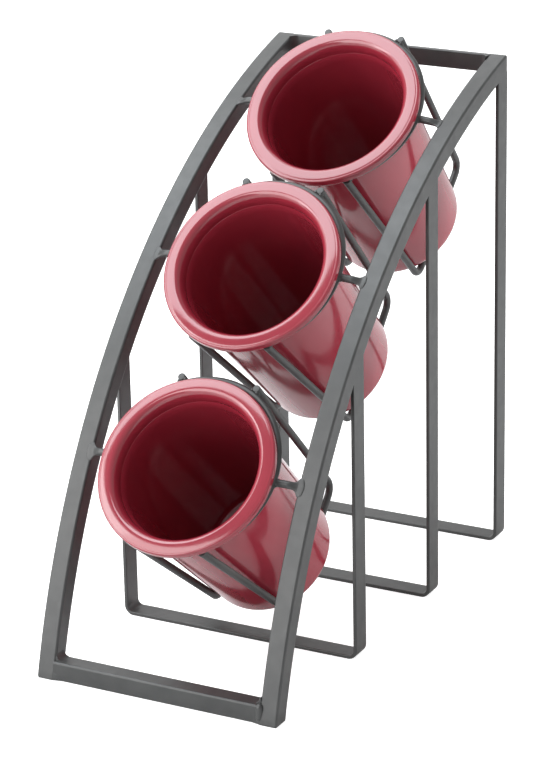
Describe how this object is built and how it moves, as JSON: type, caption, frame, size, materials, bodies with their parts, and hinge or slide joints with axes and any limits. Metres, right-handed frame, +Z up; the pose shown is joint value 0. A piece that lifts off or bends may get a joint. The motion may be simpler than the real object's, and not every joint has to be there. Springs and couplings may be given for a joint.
{
  "type": "tiered flatware caddy",
  "caption": "Stepped countertop rack of curved steel rails and strap legs; wire rings and cradles hold tilted, tapered lift-out cups for flatware, packets or creamers.",
  "frame": {"origin": "on the table, under the middle of the object's bounding box", "axes": "+Z up, +Y from the low front towards the high rear, +X across the width, from the user's left to right"},
  "size_m": [0.173, 0.3956, 0.3652],
  "materials": {
    "powder_coat": "semi-gloss black powder coat",
    "melamine": "glossy moulded cranberry red"
  },
  "bodies": {
    "frame": {"left_rail": "powder_coat", "right_rail": "powder_coat", "front_crossbar": "powder_coat", "top_crossbar": "powder_coat", "front_leg_strap": "powder_coat", "middle_leg_strap": "powder_coat", "rear_leg_strap": "powder_coat", "lower_ring": "powder_coat", "middle_ring": "powder_coat", "upper_ring": "powder_coat", "lower_left_stub": "powder_coat", "lower_right_stub": "powder_coat", "middle_left_stub": "powder_coat", "middle_right_stub": "powder_coat", "upper_left_stub": "powder_coat", "upper_right_stub": "powder_coat", "lower_left_cradle": "powder_coat", "lower_right_cradle": "powder_coat", "middle_left_cradle": "powder_coat", "middle_right_cradle": "powder_coat", "upper_left_cradle": "powder_coat", "upper_right_cradle": "powder_coat"},
    "lower_cup": {"lower_cup": "melamine"},
    "middle_cup": {"middle_cup": "melamine"},
    "upper_cup": {"upper_cup": "melamine"}
  },
  "joints": [
    {"name": "lower_cup_lift", "type": "slide", "parent": "frame", "child": "lower_cup", "axis": [0, -0.7431, 0.6691], "range_m": [0, 0.15]},
    {"name": "middle_cup_lift", "type": "slide", "parent": "frame", "child": "middle_cup", "axis": [0, -0.7314, 0.682], "range_m": [0, 0.15]},
    {"name": "upper_cup_lift", "type": "slide", "parent": "frame", "child": "upper_cup", "axis": [0, -0.682, 0.7314], "range_m": [0, 0.15]}
  ]
}
